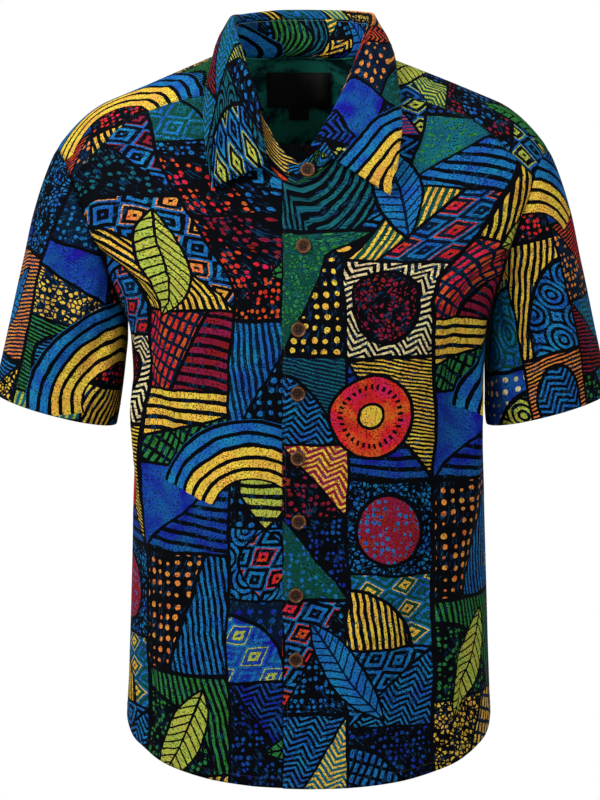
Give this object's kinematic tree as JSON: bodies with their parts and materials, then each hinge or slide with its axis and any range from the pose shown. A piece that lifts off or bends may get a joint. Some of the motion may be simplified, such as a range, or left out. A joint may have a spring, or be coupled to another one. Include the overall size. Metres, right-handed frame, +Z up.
{
  "type": "button-up shirt",
  "caption": "Short-sleeved button-up shirt with a pointed fold-over collar, a back yoke and a curved hem, filled out as if worn.",
  "frame": {"origin": "middle of the neck opening, at the height of the high shoulder points", "axes": "+X to the wearer's left, -Y to the front, +Z up"},
  "size_m": [0.602, 0.2551, 0.737],
  "materials": {
    "printed_cloth": "printed, matt",
    "label": "woven",
    "button": "satin"
  },
  "bodies": {
    "root": {"left_front": "printed_cloth", "right_front": "printed_cloth", "back": "printed_cloth", "yoke": "printed_cloth", "left_sleeve": "printed_cloth", "right_sleeve": "printed_cloth", "collar_stand": "printed_cloth", "collar_leaf": "printed_cloth", "neck_label": "label", "size_tab": "label", "collar_button": "button", "button_1": "button", "button_2": "button", "button_3": "button", "button_4": "button", "button_5": "button", "button_6": "button", "button_7": "button"}
  },
  "joints": []
}
